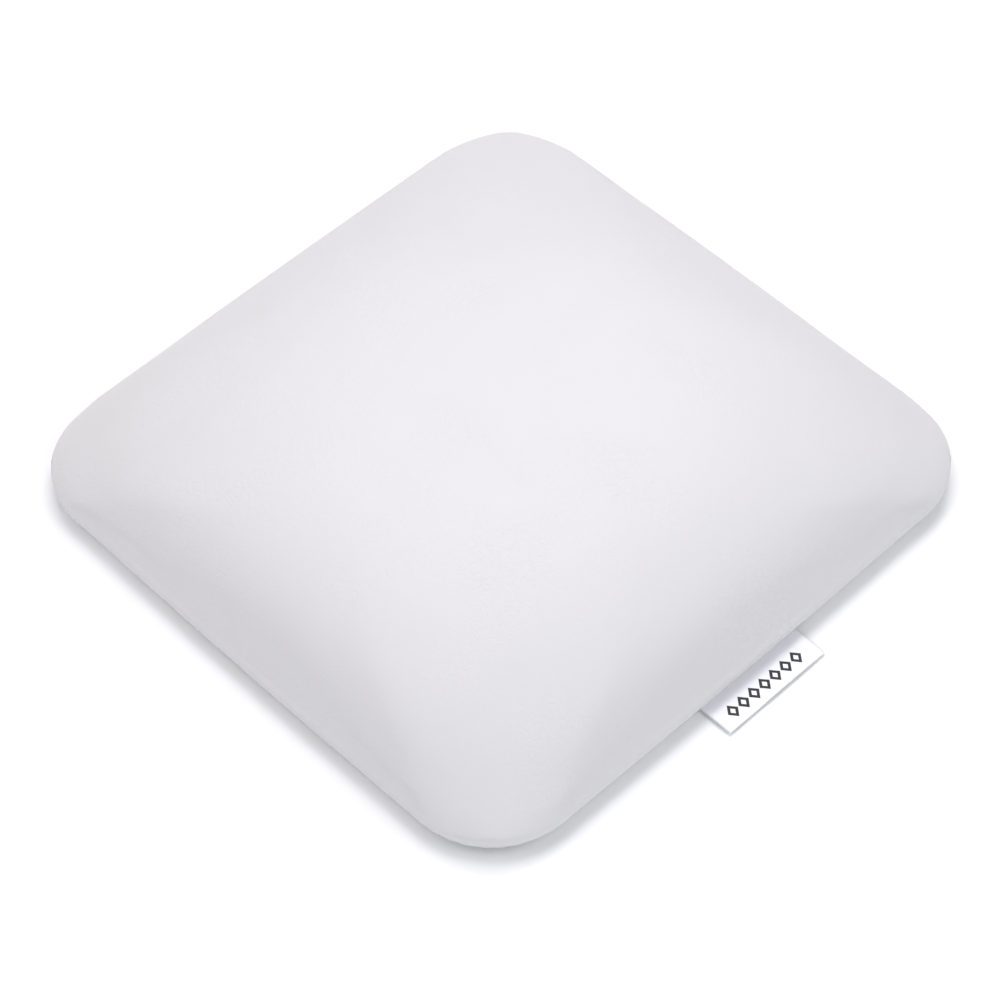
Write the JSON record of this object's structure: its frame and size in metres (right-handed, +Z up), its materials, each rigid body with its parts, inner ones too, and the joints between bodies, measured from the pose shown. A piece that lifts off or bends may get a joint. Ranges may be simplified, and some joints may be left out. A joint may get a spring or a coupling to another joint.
{
  "type": "padded rest cushion",
  "caption": "Low rounded-square rest cushion: foam on a board under one stretched white leatherette cover, with a small ribbon label at one lower edge.",
  "frame": {"origin": "middle of the flat underside that rests on the table", "axes": "+Z up out of the padded top; -Y is the front, the side that carries the ribbon label; +X to the right when the front is nearest"},
  "size_m": [0.3062, 0.3141, 0.0592],
  "materials": {
    "leatherette": "satin",
    "wadding": "matte",
    "soft_foam": "matte",
    "firm_foam": "matte",
    "plywood": "matte",
    "sheet": "matte",
    "staple_wire": "satin",
    "ribbon": "satin"
  },
  "bodies": {
    "cushion": {"leatherette_cover": "leatherette", "wadding": "wadding", "soft_foam": "soft_foam", "firm_foam": "firm_foam", "base_board": "plywood", "underside_sheet": "sheet", "cover_staples": "staple_wire", "label_staples": "staple_wire", "label_tail": "ribbon"},
    "label": {"label_flap": "ribbon"}
  },
  "joints": [
    {"name": "label_flip", "type": "hinge", "parent": "cushion", "child": "label", "pos_m": [0, -0.151, 0.00175], "axis": [-1, 0, 0], "range_deg": [0, 90]}
  ]
}
